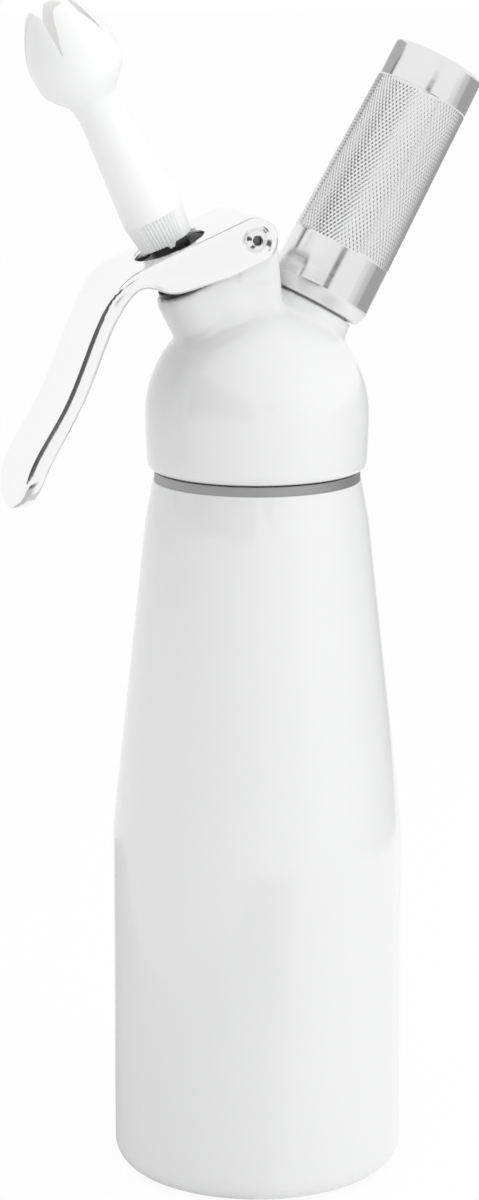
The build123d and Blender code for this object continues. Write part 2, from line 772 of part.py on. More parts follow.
# ---------------------------------------------------------------- charger and its holder
shoulder_top = shoulder_foot + charger_shoulder
round_start = charger_end - charger_radius
with BuildPart() as charger:
    with BuildSketch(charger_section):
        with BuildLine():
            Line((0, charger_tip), (charger_neck_radius, charger_tip))
            Line((charger_neck_radius, charger_tip), (charger_neck_radius, shoulder_foot))
            Spline(
                (charger_neck_radius, shoulder_foot),
                (charger_radius, shoulder_top),
                tangents=[(0, 1), (0, 1)],
            )
            Line((charger_radius, shoulder_top), (charger_radius, round_start))
            CenterArc((0, round_start), charger_radius, 0, 90)
            Line((0, charger_end), (0, charger_tip))
        make_face()
    revolve(axis=charger_axis)
    with BuildSketch(charger_section):
        with BuildLine():
            hollow = charger_radius - charger_wall
            neck_hollow = charger_neck_radius - charger_wall
            hollow_start = charger_tip + charger_wall
            Polyline((0, hollow_start), (neck_hollow, hollow_start), (neck_hollow, shoulder_foot))
            Spline((neck_hollow, shoulder_foot), (hollow, shoulder_top), tangents=[(0, 1), (0, 1)])
            Line((hollow, shoulder_top), (hollow, round_start))
            CenterArc((0, round_start), hollow, 0, 90)
            Line((0, charger_end - charger_wall), (0, hollow_start))
        make_face()
        ring_section(0, charger_mouth, charger_tip, charger_tip + 2 * charger_wall)
        ring_section(0, foil_radius + seal_fit, charger_tip, charger_tip + foil_thickness)
    revolve(axis=charger_axis, mode=Mode.SUBTRACT)
finish_piece(charger, "charger")

with BuildPart() as charger_seal:
    with BuildSketch(charger_section):
        ring_section(charger_mouth, foil_radius, charger_tip, charger_tip + foil_thickness)
    revolve(axis=charger_axis)
finish_piece(charger_seal, "charger_seal")

with BuildPart() as charger_holder:
    with BuildSketch(charger_section):
        with BuildLine():
            Line((0, 0), (holder_foot_radius - holder_foot_round, 0))
            EllipticalCenterArc(
                (holder_foot_radius - holder_foot_round, holder_foot_rise),
                holder_foot_round,
                holder_foot_rise,
                -90,
                arc_size=90,
            )
            Polyline((holder_foot_radius, holder_foot_rise), (holder_top_radius, holder_length),
                     (0, holder_length), (0, 0))
        make_face()
        fillet([v for v in vertices() if v.X > 1 and abs(v.Y - holder_length) < 0.01], holder_top_round)
    revolve(axis=charger_axis)
    with BuildSketch(charger_section):
        ring_section(0, inlet_thread_radius + thread_fit, 0, stud_top + free_gap)
        ring_section(0, holder_bore, 0, holder_ceiling)
    revolve(axis=charger_axis, mode=Mode.SUBTRACT)
finish_piece(charger_holder, "charger_holder")

with BuildPart() as holder_pad:
    with BuildSketch(charger_section):
        ring_section(0, holder_bore - seal_fit, pad_foot, holder_ceiling)
    revolve(axis=charger_axis)
finish_piece(holder_pad, "holder_pad")

print("stem travel ratio, mm per degree:", round(stem_travel / lever_travel, 4))
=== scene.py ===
# %% [markdown]
# # A whipped cream dispenser, dressed for a picture
#
# The frame holds a half-litre dispenser as plain solids: an aluminium bottle, a domed head that
# screws onto it, a lever that presses a valve, a tulip nozzle, and a sleeve for the gas charger.
# Each cell below takes one of its pieces and gives it the surface that the real one has. Leaning
# axes come from the frame's joints, castings grow from the frame's own solids, and turned pieces
# are drawn in millimetres to the size of theirs. Lamps, cards and camera are placed one by one.

import json
from math import acos, cos, degrees, pi, radians, sin, tan

import bmesh
import bpy
from mathutils import Matrix, Vector


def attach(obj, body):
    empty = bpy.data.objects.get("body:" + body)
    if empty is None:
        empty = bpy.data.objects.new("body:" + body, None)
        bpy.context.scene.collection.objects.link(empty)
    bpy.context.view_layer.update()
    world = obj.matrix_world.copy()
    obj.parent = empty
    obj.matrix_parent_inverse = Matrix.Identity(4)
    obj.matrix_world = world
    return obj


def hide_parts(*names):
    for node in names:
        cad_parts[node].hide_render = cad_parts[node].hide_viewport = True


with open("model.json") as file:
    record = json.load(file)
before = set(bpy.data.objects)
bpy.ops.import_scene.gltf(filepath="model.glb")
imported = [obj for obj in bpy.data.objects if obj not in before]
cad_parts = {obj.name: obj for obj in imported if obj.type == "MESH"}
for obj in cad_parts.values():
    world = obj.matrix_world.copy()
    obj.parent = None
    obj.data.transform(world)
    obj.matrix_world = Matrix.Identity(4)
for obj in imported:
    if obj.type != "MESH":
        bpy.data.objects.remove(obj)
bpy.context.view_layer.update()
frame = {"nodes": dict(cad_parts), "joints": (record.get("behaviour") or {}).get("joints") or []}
joints = {joint["name"]: joint for joint in frame["joints"]}
MM = 0.001

# %% [markdown]
# Two axes lean out of the head: the valve's, which the nozzle sits on, and the charger's. A
# lathe-turned piece is easiest to draw upright at the origin and then to lay on its axis, so each
# axis gets a matrix. Its third column runs up the axis and its first lies in the upright plane
# that halves the object, as the plane of a section drawing does.


# %% Matrices for the leaning axes
def joint_frame(name):
    """Matrix that lays an upright piece on a joint's axis, with its foot at the joint's place."""
    up = Vector(joints[name]["axis"]).normalized()
    side = Vector((0, 1, 0))
    across = side.cross(up)
    laid = Matrix((across, side, up)).transposed().to_4x4()
    laid.translation = Vector(joints[name]["pos_m"])
    return laid


upright = Matrix.Identity(4)
nozzle_frame = joint_frame("tip_turn")
charger_frame = joint_frame("holder_turn")
pivot = Vector(joints["lever_press"]["pos_m"])
print("nozzle leans", round(degrees(acos(nozzle_frame[2][2])), 1), "degrees, charger",
      round(degrees(acos(charger_frame[2][2])), 1))

# %% [markdown]
# ## Node trees written as expressions
#
# Both shaders and Geometry Nodes are graphs, and a graph drawn with one call per node and one per
# wire is hard to read. Here a small class wraps a socket, and Python's own operators add the Math
# nodes. Everything that isn't plain arithmetic comes from one method, which takes the node's type,
# its settings, and what goes into its sockets.


# %% A graph and its signals
class Graph:
    """A node tree that is written as expressions."""

    def __init__(self, tree):
        self.tree = tree

    def node(self, kind, settings=None, inputs=None, output=0):
        """Adds a node with its settings. Inputs are values or signals, by name or number."""
        made = self.tree.nodes.new(kind)
        for name, value in (settings or {}).items():
            setattr(made, name, value)
        for name, value in (inputs or {}).items():
            if isinstance(value, Signal):
                self.tree.links.new(value.socket, made.inputs[name])
            else:
                made.inputs[name].default_value = value
        return Signal(self, made.outputs[output]) if made.outputs else made


class Signal:
    """A socket that arithmetic can be done on."""

    def __init__(self, graph, socket):
        self.graph = graph
        self.socket = socket

    def other(self, output):
        """Another output of the same node."""
        return Signal(self.graph, self.socket.node.outputs[output])

    def math(self, operation, *values):
        return self.graph.node("ShaderNodeMath", {"operation": operation}, dict(enumerate(values)))

    def __add__(self, value):
        return self.math("ADD", self, value)

    def __sub__(self, value):
        return self.math("SUBTRACT", self, value)

    def __mul__(self, value):
        return self.math("MULTIPLY", self, value)

    def __rsub__(self, value):
        return self.math("SUBTRACT", value, self)

    def __truediv__(self, value):
        return self.math("DIVIDE", self, value)

    def __rtruediv__(self, value):
        return self.math("DIVIDE", value, self)

    __radd__ = __add__
    __rmul__ = __mul__

    def clamped(self):
        """The same signal kept between nought and one."""
        return self.math("MINIMUM", self.math("MAXIMUM", self, 0.0), 1.0)


def shade(value):
    """A grey as a colour with alpha."""
    return (value, value, value, 1)


def seen_plainly(graph):
    """One for rays from the camera, a mirror or a window, and nought for the rest."""
    rays = graph.node("ShaderNodeLightPath")
    straight = rays.other("Is Camera Ray") + rays.other("Is Glossy Ray")
    return (straight + rays.other("Is Transmission Ray")).clamped()


print("graph helpers ready")

# %% [markdown]
# ## Finishes
#
# A finish is a colour, a roughness and a fine relief. Real ones are never even: enamel has a slight
# orange peel, turned metal has rings, a moulded part has a soft mottle. Each finish below keeps its
# constant numbers on the shader's own sockets, and lets only colour, roughness and bump vary.


# %% Start of every finish
def start_finish(name):
    """Empty material, its graph, and the object's coordinates in metres."""
    material = bpy.data.materials.new(name)
    material.use_nodes = True
    material.node_tree.nodes.clear()
    graph = Graph(material.node_tree)
    return material, graph, graph.node("ShaderNodeTexCoord", output="Object")


def noise(graph, place, scale, detail=2.0):
    """Noise from nought to one, its scale in blotches per metre."""
    return graph.node(
        "ShaderNodeTexNoise",
        {"noise_dimensions": "3D"},
        {"Vector": place, "Scale": scale, "Detail": detail},
    )


def blend_colours(graph, share, low, high):
    """Colour between two, by a share."""
    return graph.node(
        "ShaderNodeMix",
        {"data_type": "RGBA"},
        {0: share, 6: low, 7: high},
        output=2,
    )


def relief(graph, height, strength, distance):
    """Bump whose full height is a distance in metres."""
    sockets = {"Height": height, "Strength": strength, "Distance": distance}
    return graph.node("ShaderNodeBump", None, sockets)


def end_finish(material, graph, **sockets):
    """Principled shader with the given sockets, and the output."""
    names = {name.replace("_", " "): value for name, value in sockets.items()}
    surface = graph.node("ShaderNodeBsdfPrincipled", None, names)
    graph.node("ShaderNodeOutputMaterial", None, {"Surface": surface})
    return material


print("finish helpers ready")

# %% [markdown]
# **White enamel.** The bottle and the head are sprayed with a thick white enamel and baked. The
# surface is glossy, with a long low waviness from the spray and a fine orange peel. The clear top
# is a coat on the shader, so highlights stay crisp over a slightly softer base.


# %% Enamel
enamel_low = (0.795, 0.797, 0.800, 1)
enamel_high = (0.825, 0.826, 0.828, 1)


def make_enamel():
    """White enamel under a clear coat."""
    material, graph, place = start_finish("white_enamel")
    tone = noise(graph, place, scale=22.0)
    fine = noise(graph, place, scale=620.0)
    wide = noise(graph, place, scale=90.0)
    return end_finish(
        material,
        graph,
        Base_Color=blend_colours(graph, tone, enamel_low, enamel_high),
        Roughness=noise(graph, place, scale=140.0) * 0.06 + 0.2,
        Normal=relief(graph, fine * 0.35 + wide * 0.65, strength=0.05, distance=0.0004),
        Coat_Weight=0.5,
        Coat_Roughness=0.06,
    )


enamel = make_enamel()
print("made", enamel.name)

# %% [markdown]
# **Polished casting.** The lever is cast and buffed by hand. Buffing leaves very fine scratches
# along the arm and a gentle unevenness that breaks long reflections, so the bump is stretched
# along the lever rather than even all round.


# %% Polished lever
polish_low = (0.91, 0.91, 0.915, 1)
polish_high = (0.95, 0.95, 0.955, 1)
buffed_scale = (60.0, 900.0, 60.0)


def make_polish():
    """Buffed metal with hairlines along the arm."""
    material, graph, place = start_finish("polished_casting")
    stretched = graph.node("ShaderNodeMapping", None, {"Vector": place, "Scale": buffed_scale})
    hairlines = noise(graph, stretched, scale=1.0, detail=3.0)
    buffing = noise(graph, place, scale=55.0)
    return end_finish(
        material,
        graph,
        Base_Color=blend_colours(graph, buffing, polish_low, polish_high),
        Metallic=1.0,
        Roughness=hairlines * 0.06 + 0.15,
        Normal=relief(graph, hairlines * 0.3 + buffing * 0.7, strength=0.05, distance=0.0003),
    )


polish = make_polish()
print("made", polish.name)

# %% [markdown]
# **Turned aluminium and steel.** A turned part carries the fine rings that the tool left. They run
# round the axis, so their pattern depends only on the height along it: the coordinates are laid
# upright with the same matrix that laid the piece down, and the noise is squeezed along the axis.
# A finish can also turn bright outside a radius: the adapter is coloured near black, painted shade
# for the gap under the nozzle's collar, and its flange is bright outside that radius.


# %% Turned metals
turned_scale = (30.0, 30.0, 4200.0)  # blotches per metre across and along the axis
bright_fade = 2500.0  # per metre, so the edge of the bright part is 0.4 mm wide
# Below this height the flange's underside keeps the adapter's painted shade.
bright_floor = -3.8  # mm, the flange's underside stays dark below this height
flange_bright = (0.90, 0.90, 0.905, 1)


def upright_place(graph, place, laid):
    """Object coordinates seen from a piece's own axis: height along it is Z."""
    turn = laid.to_3x3().to_euler()
    return graph.node(
        "ShaderNodeMapping",
        {"vector_type": "TEXTURE"},
        {"Vector": place, "Location": laid.translation, "Rotation": turn},
    )


def make_turned(name, laid, low, high, roughness, bright_beyond=None):
    """Turned metal. Where a radius in millimetres is given, it turns bright outside it."""
    material, graph, place = start_finish(name)
    own = upright_place(graph, place, laid)
    squeezed = graph.node("ShaderNodeMapping", None, {"Vector": own, "Scale": turned_scale})
    rings = noise(graph, squeezed, scale=1.0, detail=3.0)
    haze = noise(graph, place, scale=70.0)
    colour = blend_colours(graph, haze, low, high)
    if bright_beyond:
        flat = graph.node(
            "ShaderNodeVectorMath", {"operation": "MULTIPLY"}, {0: own, 1: (1.0, 1.0, 0.0)})
        away = graph.node("ShaderNodeVectorMath", {"operation": "LENGTH"}, {0: flat}, output=1)
        height = graph.node("ShaderNodeSeparateXYZ", None, {"Vector": own}, output=2)
        above = height.math("GREATER_THAN", height, bright_floor * MM)
        outer = ((away - bright_beyond * MM) * bright_fade).clamped() * above
        colour = blend_colours(graph, outer, colour, flange_bright)
    return end_finish(
        material,
        graph,
        Base_Color=colour,
        Metallic=1.0,
        Roughness=rings * 0.12 + roughness,
        Normal=relief(graph, rings, strength=0.08, distance=0.0002),
    )


steel_low, steel_high = (0.55, 0.56, 0.58, 1), (0.66, 0.67, 0.69, 1)
satin = make_turned(
    "satin_aluminium", charger_frame, (0.78, 0.78, 0.785, 1), (0.84, 0.84, 0.845, 1),
    roughness=0.11)
satin_foot = make_turned(
    "satin_foot", charger_frame, (0.9, 0.9, 0.903, 1), (0.95, 0.95, 0.952, 1), roughness=0.4)
bare = make_turned(
    "bare_aluminium", upright, (0.70, 0.70, 0.71, 1), (0.78, 0.78, 0.79, 1), roughness=0.26)
# The bottle's ring: bare aluminium coloured darker, painted shade under the head's rim.
ring_painted_shade = make_turned(
    "ring_painted_shade", upright, (0.42, 0.42, 0.425, 1), (0.50, 0.50, 0.505, 1), roughness=0.5)
valve_steel = make_turned("valve_steel", nozzle_frame, steel_low, steel_high, roughness=0.2)
inlet_steel = make_turned("inlet_steel", charger_frame, steel_low, steel_high, roughness=0.2)
charger_steel = make_turned(
    "charger_steel", charger_frame, (0.48, 0.49, 0.51, 1), (0.58, 0.59, 0.61, 1), roughness=0.24)
# Painted shade: the adapter and the valve body are coloured near black for the shade under the
# nozzle's collar, and only the flange turns bright.
painted_shade_steel = make_turned(
    "painted_shade_steel", nozzle_frame, (0.05, 0.05, 0.052, 1), (0.09, 0.09, 0.093, 1), roughness=0.3,
    bright_beyond=7.5)
screw_steel = make_turned(
    "screw_steel", upright, (0.80, 0.80, 0.81, 1), (0.88, 0.88, 0.89, 1), roughness=0.04)
# Painted shade: the screw's hexagon socket is coloured near black.
socket_painted_shade = make_turned("socket_painted_shade", upright, shade(0.08), shade(0.16), roughness=0.25)
print("made ten turned metals")

# %% [markdown]
# ** Plastic and silicone.** The nozzle is moulded in white polypropylene: glossy, a little waxy,
# with a faint mottle where the melt cooled. Light goes a few millimetres into it and comes out
# again, so it gets some subsurface scattering. The petals' inner side is a lighter copy of the
# plastic with the most scattering: painted light for what comes through the thin wall. The ribbed
# collar has a rougher mould and looks matt. The flat seals are pale silicone, and the round ones
# are black rubber.


# %% Moulded finishes
def make_moulded(name, low, high, roughness, peel, glow=0.0, reach=0.003):
    """Moulded finish: peel is the bump's strength, glow and reach are the light's way inside."""
    material, graph, place = start_finish(name)
    melt = noise(graph, place, scale=60.0)
    grain = noise(graph, place, scale=900.0)
    return end_finish(
        material,
        graph,
        Base_Color=blend_colours(graph, melt, low, high),
        Roughness=melt * 0.08 + roughness,
        Normal=relief(graph, grain * 0.3 + melt * 0.7, strength=peel, distance=0.0003),
        Subsurface_Weight=glow,
        Subsurface_Radius=(1.0, 0.95, 0.9),
        Subsurface_Scale=reach,
    )


plastic = make_moulded(
    "white_polypropylene", (0.925, 0.926, 0.927, 1), (0.945, 0.946, 0.947, 1),
    roughness=0.34, peel=0.05, glow=0.2)
# Painted light: a lighter copy of the plastic with more scattering, for the petals' inner side.
lit_petal_plastic = make_moulded(
    "petal_inside_painted_light", (0.95, 0.951, 0.952, 1), (0.97, 0.971, 0.972, 1),
    roughness=0.4, peel=0.05, glow=1.0, reach=0.012)
grip_plastic = make_moulded(
    "matt_grip", (0.89, 0.891, 0.892, 1), (0.92, 0.921, 0.922, 1), roughness=0.5, peel=0.08)
silicone = make_moulded(
    "pale_silicone", (0.62, 0.61, 0.59, 1), (0.70, 0.69, 0.67, 1), roughness=0.5, peel=0.15)
dark_rubber = make_moulded(
    "seal_rubber", (0.06, 0.06, 0.062, 1), (0.09, 0.09, 0.092, 1), roughness=0.55, peel=0.15)
print("made five moulded finishes")

# %% [markdown]
# ## Carried-over nodes
#
# The small inner parts are already right as solids. They only need their finish, which goes into
# the slots that the frame gave them.

# %% Finishes for the frame's own nodes
node_finish = {
    "bottle": enamel,
    "head": enamel,
    "lever": polish,
    "decorator_tip": plastic,
    "charger_holder": satin,
    "head_gasket": silicone,
    "valve_body": painted_shade_steel,
    "valve_nut": valve_steel,
    # The valve body and the nozzle adapter get the near black painted shade.
    "valve_stem": valve_steel,
    "valve_spring": valve_steel,
    "nozzle_adapter": painted_shade_steel,
    "valve_body_o_ring": dark_rubber,
    "stem_o_ring": dark_rubber,
    "valve_seal": dark_rubber,
    "pivot_screw": screw_steel,
    "pivot_nut": screw_steel,
    "pivot_washers": plastic,
    "inlet_gasket": silicone,
    "inlet_stud": inlet_steel,
    "pin_gasket": silicone,
    "piercing_pin": inlet_steel,
    "pin_retainer": inlet_steel,
    "check_valve": dark_rubber,
    "charger": charger_steel,
    "charger_seal": charger_steel,
    "holder_pad": dark_rubber,
}
for name, finish in node_finish.items():
    mesh = frame["nodes"][name].data
    mesh.materials.clear()
    mesh.materials.append(finish)
print("finished", len(node_finish), "nodes")

# %% [markdown]
# ## Turned pieces
#
# A lathe makes the bottle and the charger's sleeve, so the script has a lathe too. An outline is a
# list of corners, each a radius, a height and, where the real edge is broken, a rounding. The
# outline is closed, so what it makes is a solid with a wall and not a paper shell.


# %% Outline with rounded corners
def rounded(corners, steps=6):
    """Points of a closed outline of corners (radius, height) or (radius, height, rounding)."""
    points = []
    earlier, later = corners[-1:] + corners[:-1], corners[1:] + corners[:1]
    for before, corner, after in zip(earlier, corners, later):
        here = Vector(corner[:2])
        if len(corner) < 3:
            points.append(here)
            continue
        back = (Vector(before[:2]) - here).normalized()
        ahead = (Vector(after[:2]) - here).normalized()
        half = back.angle(ahead) / 2
        centre = here + (back + ahead).normalized() * (corner[2] / sin(half))
        start = here + back * (corner[2] / tan(half)) - centre
        sweep = pi - 2 * half
        if back.x * ahead.y - back.y * ahead.x > 0:
            sweep = -sweep
        for step in range(steps + 1):
            points.append(centre + Matrix.Rotation(sweep * step / steps, 2) @ start)
    return points


def ring(build, laid, radius_at, height_at, columns):
    """Points round an axis, radius and height by angle. On the axis itself it is one point."""
    count = 1 if radius_at(0.0) < 1e-6 else columns
    points = []
    for column in range(count):
        angle = 2 * pi * column / count
        radius, height = radius_at(angle), height_at(angle)
        place = Vector((radius * cos(angle), radius * sin(angle), height))
        points.append(build.verts.new(laid @ place))
    return points


def join_rings(build, rings):
    """Faces between each ring and the next, and from the last back to the first."""
    columns = max(len(points) for points in rings)
    for lower, upper in zip(rings, rings[1:] + rings[:1]):
        if len(lower) == 1 and len(upper) == 1:
            continue
        for column in range(columns):
            corners = []
            for points, place in (
                (lower, column), (lower, column + 1), (upper, column + 1), (upper, column)):
                vertex = points[place % len(points)]
                if vertex not in corners:
                    corners.append(vertex)
            build.faces.new(corners)
    bmesh.ops.recalc_face_normals(build, faces=build.faces)


def lathe(name, outline, laid, finish, turns=192):
    """Solid turned from a closed outline in millimetres and laid on an axis."""
    build = bmesh.new()
    join_rings(build, [
        ring(build, laid, lambda a: radius, lambda a: height, turns) for radius, height in outline
    ])
    return mesh_object(name, build, [finish])


def mesh_object(name, build, finishes, smooth_below=35):
    """Object from a bmesh, smooth except where faces meet at more than an angle."""
    limit = radians(smooth_below)
    for face in build.faces:
        face.smooth = True
    for edge in build.edges:
        edge.smooth = len(edge.link_faces) == 2 and edge.calc_face_angle(0) < limit
    mesh = bpy.data.meshes.new(name)
    build.to_mesh(mesh)
    build.free()
    for finish in finishes:
        mesh.materials.append(finish)
    piece = bpy.data.objects.new(name, mesh)
    bpy.context.scene.collection.objects.link(piece)
    print(name, len(mesh.polygons), "faces")
    return piece


def scaled(laid):
    """The same frame for drawings in millimetres."""
    return laid @ Matrix.Scale(MM, 4)


def dress(piece, body, slot, *nodes):
    """Lets a piece ride on a body and stand for nodes, which are hidden. The slot is not used."""
    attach(piece, body)
    if nodes:
        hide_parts(*nodes)
    return piece


print("lathe ready")

# %% [markdown]
# ** Bottle.** The flask is deep drawn from a disc of aluminium, so its wall is even, its foot is a
# generous round and the taper has no seam. Enamel covers the outside up to the shoulder. The ring
# above it stays bare, because the head's rim closes on it, and so do the neck and the inside. The
# ring's aluminium is coloured darker than the neck's: painted shade under the head's rim.

# %% Bottle, in millimetres from the foot up the outside and down the inside
bottle_corners = [
    (0, 0),
    (40.0, 0, 6.7),
    (40.0, 96.5, 80.0),
    (30.5, 183.0, 40.0),
    (28.4, 194.4, 0.3),
    (28.0, 194.4),
    (28.0, 197.0, 0.2),
    (25.5, 197.0),
    (25.5, 209.2),
    (26.0, 210.0, 0.3),
    (24.0, 210.0, 0.3),
    (24.0, 192.8, 6.0),
    (28.9, 183.0, 20.0),
    (38.4, 96.5, 80.0),
    (38.4, 1.6, 5.1),
    (0, 1.6),
]
shoulder = 194.41
ring_top = 197.05
neck_edge = 25.6
under_floor = 1.0
over_floor = 3.0
bottle_piece = lathe("bottle_shell", rounded(bottle_corners, 8), scaled(upright), enamel)
bottle_piece.data.materials.append(bare)
# The ring's darker grey is painted shade under the head's rim.
bottle_piece.data.materials.append(ring_painted_shade)
for face in bottle_piece.data.polygons:
    centre = face.center / MM
    inside = face.normal.x * centre.x + face.normal.y * centre.y < 0 and centre.z > under_floor
    bottom = under_floor < centre.z < over_floor and face.normal.z > 0.9
    if centre.z > shoulder or inside or bottom:
        # Ring faces below ring_top take the painted shade; the neck, the floor and the inside take
        # bare aluminium.
        outer = centre.xy.length > neck_edge
        face.material_index = 2 if outer and centre.z < ring_top else 1
dress(bottle_piece, "bottle", "enamel", "bottle")

# %% [markdown]
# ## Threads
#
# A thread is one ridge that climbs round a cylinder. Geometry Nodes has a Spiral curve, and Curve
# to Mesh sweeps a small trapezium along it. The radius, the pitch and the number of turns are the
# tree's inputs. The head's and the sleeve's own threads stay hidden. The charger's stud, which
# shows when the sleeve is unscrewed, is left plain, so only the bottle gets a thread.


# %% Geometry tree helper
def new_tree(name, inputs):
    """Geometry tree with named inputs, its graph and the inputs as signals."""
    tree = bpy.data.node_groups.new(name, "GeometryNodeTree")
    for label, kind in inputs.items():
        tree.interface.new_socket(label, in_out="INPUT", socket_type=kind)
    tree.interface.new_socket("Geometry", in_out="OUTPUT", socket_type="NodeSocketGeometry")
    graph = Graph(tree)
    entry = graph.node("NodeGroupInput")
    return tree, graph, {label: entry.other(label) for label in inputs}


def close_tree(graph, geometry, finish):
    """Ends a tree with real geometry that carries its finish."""
    real = graph.node("GeometryNodeRealizeInstances", None, {"Geometry": geometry})
    done = graph.node("GeometryNodeSetMaterial", None, {"Geometry": real, "Material": finish})
    graph.node("NodeGroupOutput", None, {"Geometry": done})


def grow(name, tree, values, laid):
    """Runs a tree with its inputs and keeps the result as a plain mesh laid on an axis."""
    carrier = bpy.data.objects.new(name + "_carrier", bpy.data.meshes.new(name + "_carrier"))
    bpy.context.scene.collection.objects.link(carrier)
    modifier = carrier.modifiers.new("grow", "NODES")
    modifier.node_group = tree
    for socket in tree.interface.items_tree:
        if socket.in_out == "INPUT":
            modifier[socket.identifier] = values[socket.name]
    evaluated = carrier.evaluated_get(bpy.context.evaluated_depsgraph_get())
    mesh = bpy.data.meshes.new_from_object(evaluated)
    bpy.data.objects.remove(carrier)
    build = bmesh.new()
    build.from_mesh(mesh)
    finishes = list(mesh.materials)
    bmesh.ops.transform(build, matrix=laid, verts=build.verts)
    bmesh.ops.recalc_face_normals(build, faces=build.faces)
    return mesh_object(name, build, finishes)


print("geometry helpers ready")


# %% Thread tree
def thread_tree(finish):
    """Ridge with a trapezium section that climbs a pitch in each turn."""
    sizes = dict.fromkeys(("Radius", "Pitch", "Turns", "Depth"), "NodeSocketFloat")
    tree, graph, size = new_tree("thread_" + finish.name, sizes)
    path = graph.node(
        "GeometryNodeCurveSpiral",
        None,
        {"Resolution": 64, "Rotations": size["Turns"], "Start Radius": size["Radius"],
         "End Radius": size["Radius"], "Height": size["Turns"] * size["Pitch"]},
    )
    ridge = graph.node(
        "GeometryNodeCurvePrimitiveQuadrilateral",
        {"mode": "TRAPEZOID"},
        {"Bottom Width": size["Pitch"] * 0.8, "Top Width": size["Pitch"] * 0.25,
         "Height": size["Depth"], "Offset": 0.0},
    )
    swept = graph.node(
        "GeometryNodeCurveToMesh",
        None,
        {"Curve": path, "Profile Curve": ridge, "Fill Caps": True},
    )
    close_tree(graph, swept, finish)
    return tree


def cut_thread(name, finish, radius, start, pitch, turns, depth, laid):
    """Thread whose crest lies on a radius, from a height up, all in millimetres."""
    values = {"Radius": radius - depth / 2, "Pitch": pitch, "Turns": turns, "Depth": depth}
    raised = scaled(laid) @ Matrix.Translation((0, 0, start))
    return grow(name, thread_tree(finish), values, raised)


neck_thread = cut_thread(
    "bottle_thread", bare, radius=26.1, start=199.0, pitch=3.0, turns=2.8, depth=0.8, laid=upright)
dress(neck_thread, "bottle", "enamel")

# %% [markdown]
# ## Cast pieces
#
# The head and the lever are castings. Their solids have the right form but knife-sharp edges, and
# no casting has those: the mould has a radius in every corner, and buffing or enamel rounds it
# further. A bevel could do it edge by edge, but it tears where three edges meet at a slant. A voxel
# remesh makes one even skin over the whole form instead, and a few smoothing passes melt its
# corners. The copy is merged first, since the frame's mesh is loose triangles.


# %% Skin over a casting
def cast_skin(node, name, finish, voxel, passes):
    """Copy of a node as one even skin with softened corners, voxel in millimetres."""
    build = bmesh.new()
    build.from_mesh(frame["nodes"][node].data)
    bmesh.ops.remove_doubles(build, verts=build.verts, dist=0.002 * MM)
    piece = mesh_object(name, build, [finish], 180)
    skin = piece.modifiers.new("skin", "REMESH")
    skin.mode = "VOXEL"
    skin.voxel_size = voxel * MM
    skin.use_smooth_shade = True
    melt = piece.modifiers.new("melt", "SMOOTH")
    melt.factor = 0.5
    melt.iterations = passes
    evaluated = piece.evaluated_get(bpy.context.evaluated_depsgraph_get())
    skinned = bpy.data.meshes.new_from_object(evaluated)
    piece.modifiers.clear()
    piece.data = skinned
    print(name, "skin", len(skinned.polygons), "faces")
    return piece


# %% [markdown]
# **Head.** Enamel pools in the inner corners, so the neck, the boss and the dome run into each
# other.

# %% Head
head_piece = cast_skin("head", "head_casting", enamel, voxel=0.6, passes=10)
dress(head_piece, "head_assembly", "enamel", "head")

# %% [markdown]
# **Lever.** Buffing leaves an even round on every edge, which shows as a dark line between two
# bright faces. A finer skin keeps the edge where it is, and more passes make its round smooth.

# %% Lever
lever_piece = cast_skin("lever", "lever_arm", polish, voxel=0.42, passes=55)
dress(lever_piece, "lever_assembly", "polished_lever", "lever")

# %% [markdown]
# ** Pivot screw.** The lever turns on a small steel screw that lies in a recess of the cheek. Its
# head is a polished button with a hexagon socket. It is drawn as rings round the pivot's axis: the
# rings are circles on the rim and turn into hexagons at the socket, which is coloured near black:
# painted shade in the socket.

# %% Pivot screw, in millimetres
screw_head_radius = 3.25
screw_shank_radius = 1.7
screw_seat = -13.4
screw_rim = 0.05
screw_dome = 4.6
screw_end = 13.9
socket_radius = 1.2
socket_depth = 0.9
socket_edge = 0.25
dome_steps = 10
screw_columns = 96
screw_frame = Matrix(((1, 0, 0, pivot.x), (0, 0, 1, 0), (0, 1, 0, pivot.z), (0, 0, 0, 1)))


def hexagon(radius, angle):
    """Distance to a hexagon's edge at an angle."""
    half_side = pi / 6
    return radius * cos(half_side) / cos((angle + half_side) % (pi / 3) - half_side)


def make_screw():
    """Screw from its tip to its socket, as (radius by angle, place along the axis)."""
    dome_rise = (screw_dome ** 2 - screw_head_radius ** 2) ** 0.5
    rows = [(lambda a: 0.0, screw_end), (lambda a: screw_shank_radius, screw_end),
            (lambda a: screw_shank_radius, screw_seat), (lambda a: screw_head_radius, screw_seat)]
    for step in range(dome_steps + 1):
        share = step / dome_steps
        radius = screw_head_radius + (socket_radius + socket_edge - screw_head_radius) * share
        rise = (screw_dome ** 2 - radius ** 2) ** 0.5 - dome_rise
        rows.append((lambda a, r=radius: r, screw_seat - screw_rim - rise))
    mouth = rows[-1][1]
    rows += [(lambda a: hexagon(socket_radius, a), mouth + 0.1),
             (lambda a: hexagon(socket_radius, a), mouth + socket_depth),
             (lambda a: 0.0, mouth + socket_depth)]
    build = bmesh.new()
    laid = scaled(screw_frame)
    join_rings(build, [
        ring(build, laid, radius_at, lambda a: along, screw_columns) for radius_at, along in rows
    ])
    for face in build.faces:
        place = (face.calc_center_median() - pivot) / MM
        deep = place.x ** 2 + place.z ** 2 < (socket_radius + 0.1) ** 2
        # Faces deep in the socket take the near black painted shade.
        face.material_index = 1 if place.y < 0 and deep else 0
    return mesh_object("pivot_button", build, [screw_steel, socket_painted_shade])


screw_piece = make_screw()
dress(screw_piece, "lever_assembly", "stainless", "pivot_screw")

